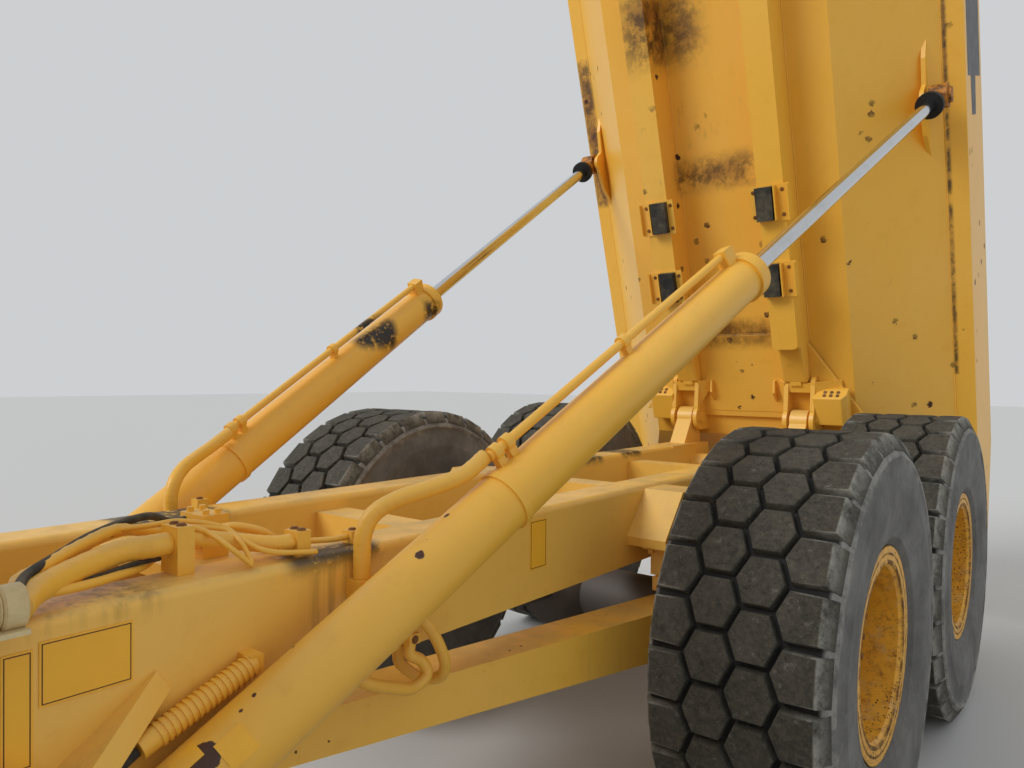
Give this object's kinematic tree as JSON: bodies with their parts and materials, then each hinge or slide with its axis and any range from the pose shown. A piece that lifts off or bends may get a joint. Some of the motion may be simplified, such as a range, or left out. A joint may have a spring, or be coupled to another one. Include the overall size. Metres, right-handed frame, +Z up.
{
  "type": "articulated dump truck",
  "caption": "Articulated off-road dump truck: centre-jointed frame, cab and hood in front, open load bed raised by two hoist cylinders over a rear bogie.",
  "frame": {"origin": "on the ground, under the centre of the bounding box", "axes": "+X to the machine's left, +Y to its rear along the length, +Z up; the bed is raised at rest"},
  "size_m": [2.858, 10.4744, 6.3128],
  "materials": {
    "tyre": "dusty worn rubber",
    "yellow_paint": "worn gloss paint",
    "dark_iron": "dirty",
    "dark_parts": "satin",
    "glass": "clear",
    "lamp": "clear lens",
    "rod_chrome": "polished",
    "pad_rubber": "matt",
    "hose_rubber": "matt",
    "plate": "satin",
    "red_lamp": "clear lens"
  },
  "bodies": {
    "tractor": {"front_frame": "yellow_paint", "front_axle": "dark_iron", "engine": "dark_iron", "radiator": "dark_iron", "front_bumper": "yellow_paint", "front_mudguards": "dark_parts", "access_steps": "dark_parts", "tanks": "dark_parts", "cab_shell": "yellow_paint", "cab_roof": "yellow_paint", "cab_glass": "glass", "seat": "dark_parts", "dashboard": "dark_parts", "head_lamps": "lamp", "exhaust_stack": "dark_parts", "mirrors": "dark_parts", "handrails": "yellow_paint", "steer_barrels": "yellow_paint"},
    "wheel_front_left": {"tyre_front_left": "tyre", "rim_front_left": "yellow_paint"},
    "wheel_front_right": {"tyre_front_right": "tyre", "rim_front_right": "yellow_paint"},
    "wheel_middle_left": {"tyre_middle_left": "tyre", "rim_middle_left": "yellow_paint"},
    "wheel_middle_right": {"tyre_middle_right": "tyre", "rim_middle_right": "yellow_paint"},
    "wheel_rear_left": {"tyre_rear_left": "tyre", "rim_rear_left": "yellow_paint"},
    "wheel_rear_right": {"tyre_rear_right": "tyre", "rim_rear_right": "yellow_paint"},
    "hood": {"hood": "yellow_paint", "grille": "dark_parts"},
    "door": {"cab_door": "yellow_paint", "door_glass": "glass"},
    "hitch": {"hitch": "yellow_paint"},
    "rear_unit": {"rear_frame": "yellow_paint", "rear_axles": "dark_iron", "bogie_beams": "yellow_paint", "spring_mounts": "yellow_paint", "a_stays": "yellow_paint", "drive_shafts": "dark_iron", "hoses": "hose_rubber", "painted_hoses": "yellow_paint", "fluid_blocks": "yellow_paint", "hose_guard": "yellow_paint", "hose_sleeve": "plate", "label_plates": "plate", "tail_lamps": "red_lamp"},
    "bed": {"bed_shell": "yellow_paint", "bed_rails": "yellow_paint", "bed_pads": "pad_rubber"},
    "steer_rod_left": {"steer_rod_left": "rod_chrome"},
    "hoist_barrel_left": {"hoist_barrel_left": "yellow_paint", "barrel_plates": "plate"},
    "hoist_rod_left": {"hoist_rod_left": "rod_chrome"},
    "steer_rod_right": {"steer_rod_right": "rod_chrome"},
    "hoist_barrel_right": {"hoist_barrel_right": "yellow_paint"},
    "hoist_rod_right": {"hoist_rod_right": "rod_chrome"}
  },
  "joints": [
    {"name": "spin_front_left", "type": "hinge", "parent": "tractor", "child": "wheel_front_left", "pos_m": [1.129, -2.47322, 0.79], "axis": [1, 0, 0], "continuous": true},
    {"name": "spin_front_right", "type": "hinge", "parent": "tractor", "child": "wheel_front_right", "pos_m": [-1.129, -2.47322, 0.79], "axis": [1, 0, 0], "continuous": true},
    {"name": "spin_middle_left", "type": "hinge", "parent": "rear_unit", "child": "wheel_middle_left", "pos_m": [1.129, 1.70178, 0.79], "axis": [1, 0, 0], "continuous": true},
    {"name": "spin_middle_right", "type": "hinge", "parent": "rear_unit", "child": "wheel_middle_right", "pos_m": [-1.129, 1.70178, 0.79], "axis": [1, 0, 0], "continuous": true},
    {"name": "spin_rear_left", "type": "hinge", "parent": "rear_unit", "child": "wheel_rear_left", "pos_m": [1.129, 3.37178, 0.79], "axis": [1, 0, 0], "continuous": true},
    {"name": "spin_rear_right", "type": "hinge", "parent": "rear_unit", "child": "wheel_rear_right", "pos_m": [-1.129, 3.37178, 0.79], "axis": [1, 0, 0], "continuous": true},
    {"name": "hood_tilt", "type": "hinge", "parent": "tractor", "child": "hood", "pos_m": [0, -5.21222, 1.215], "axis": [1, 0, 0], "range_deg": [0, 65]},
    {"name": "door_swing", "type": "hinge", "parent": "tractor", "child": "door", "pos_m": [0.802, -2.41822, 2.4], "axis": [0, 0, 1], "range_deg": [0, 80]},
    {"name": "steering", "type": "hinge", "parent": "tractor", "child": "hitch", "pos_m": [0, -1.26322, 0.95], "axis": [0, 0, 1], "range_deg": [-45, 45]},
    {"name": "roll", "type": "hinge", "parent": "hitch", "child": "rear_unit", "pos_m": [0, -0.99822, 0.95], "axis": [0, 1, 0], "range_deg": [-15, 15]},
    {"name": "bed_tilt", "type": "hinge", "parent": "rear_unit", "child": "bed", "pos_m": [0, 3.84178, 1.49], "axis": [1, 0, 0], "range_deg": [0, 73]},
    {"name": "hoist_swing_left", "type": "hinge", "parent": "rear_unit", "child": "hoist_barrel_left", "pos_m": [0.545, -0.63822, 0.81], "axis": [-0.7635, 0.4096, -0.4992], "range_deg": [0, 8.81]},
    {"name": "hoist_slide_left", "type": "slide", "parent": "hoist_barrel_left", "child": "hoist_rod_left", "axis": [-0.1265, -0.8529, -0.5064], "range_m": [0, 2.21155]},
    {"name": "steer_slide_left", "type": "slide", "parent": "tractor", "child": "steer_rod_left", "axis": [-0.0797, 0.9968, 0], "range_m": [-0.23, 0.23]},
    {"name": "hoist_swing_right", "type": "hinge", "parent": "rear_unit", "child": "hoist_barrel_right", "pos_m": [-0.545, -0.63822, 0.81], "axis": [-0.7635, -0.4096, 0.4992], "range_deg": [0, 8.81]},
    {"name": "hoist_slide_right", "type": "slide", "parent": "hoist_barrel_right", "child": "hoist_rod_right", "axis": [0.1265, -0.8529, -0.5064], "range_m": [0, 2.21155]},
    {"name": "steer_slide_right", "type": "slide", "parent": "tractor", "child": "steer_rod_right", "axis": [0.0797, 0.9968, 0], "range_m": [-0.23, 0.23]}
  ],
  "couplings": [
    {"joint": "hoist_swing_left", "follows": "bed_tilt", "ratio": 0.12071},
    {"joint": "hoist_slide_left", "follows": "bed_tilt", "m_per_rad": 1.7357},
    {"joint": "steer_slide_left", "follows": "steering", "m_per_rad": 0.27608},
    {"joint": "hoist_swing_right", "follows": "bed_tilt", "ratio": 0.12071},
    {"joint": "hoist_slide_right", "follows": "bed_tilt", "m_per_rad": 1.7357},
    {"joint": "steer_slide_right", "follows": "steering", "m_per_rad": -0.27608}
  ]
}
